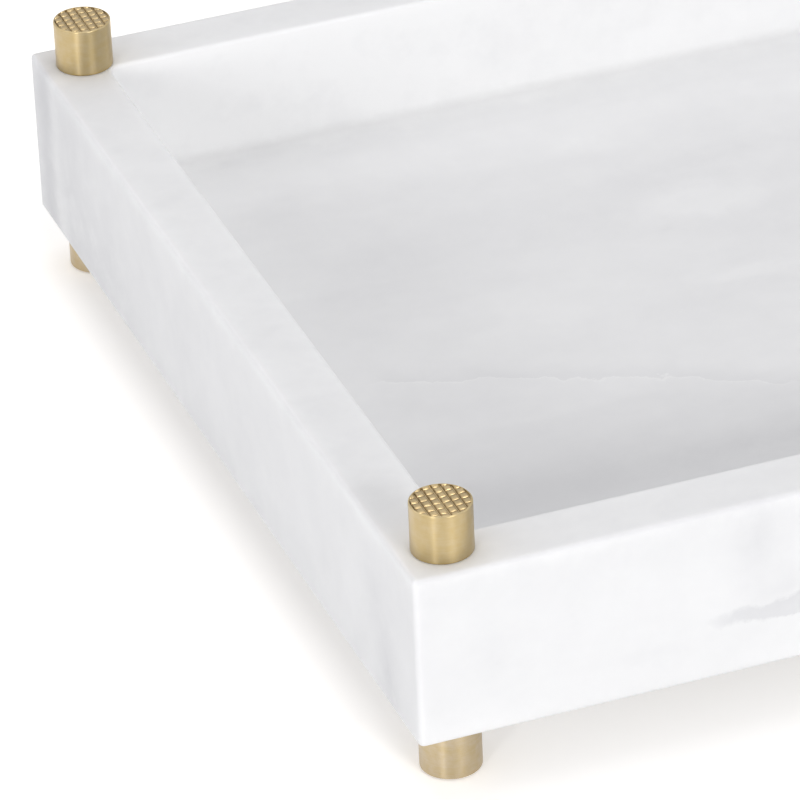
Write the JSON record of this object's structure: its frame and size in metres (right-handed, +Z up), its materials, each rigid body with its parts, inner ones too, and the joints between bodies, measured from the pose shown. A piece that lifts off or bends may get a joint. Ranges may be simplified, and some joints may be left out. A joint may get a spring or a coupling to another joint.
{
  "type": "footed stone vanity tray",
  "caption": "Rectangular tray hollowed from pale translucent stone, clamped at each corner between a turned brass cap with a waffle-grooved end and a brass foot.",
  "frame": {"origin": "on the table under the pads, at the centre of the tray's footprint", "axes": "+X along the tray's long side to the right, +Y to the back, +Z up"},
  "size_m": [0.406, 0.304, 0.0774],
  "materials": {
    "stone": "satin",
    "brass": "satin",
    "stud_steel": "satin",
    "washer_fibre": "matte",
    "pad_rubber": "matte"
  },
  "bodies": {
    "root": {"tray_body": "stone", "front_left_foot_pad": "pad_rubber", "front_left_foot": "brass", "front_left_foot_washer": "washer_fibre", "front_left_stud": "stud_steel", "front_left_cap_washer": "washer_fibre", "front_left_cap": "brass", "front_right_foot_pad": "pad_rubber", "front_right_foot": "brass", "front_right_foot_washer": "washer_fibre", "front_right_stud": "stud_steel", "front_right_cap_washer": "washer_fibre", "front_right_cap": "brass", "back_left_foot_pad": "pad_rubber", "back_left_foot": "brass", "back_left_foot_washer": "washer_fibre", "back_left_stud": "stud_steel", "back_left_cap_washer": "washer_fibre", "back_left_cap": "brass", "back_right_foot_pad": "pad_rubber", "back_right_foot": "brass", "back_right_foot_washer": "washer_fibre", "back_right_stud": "stud_steel", "back_right_cap_washer": "washer_fibre", "back_right_cap": "brass"}
  },
  "joints": []
}
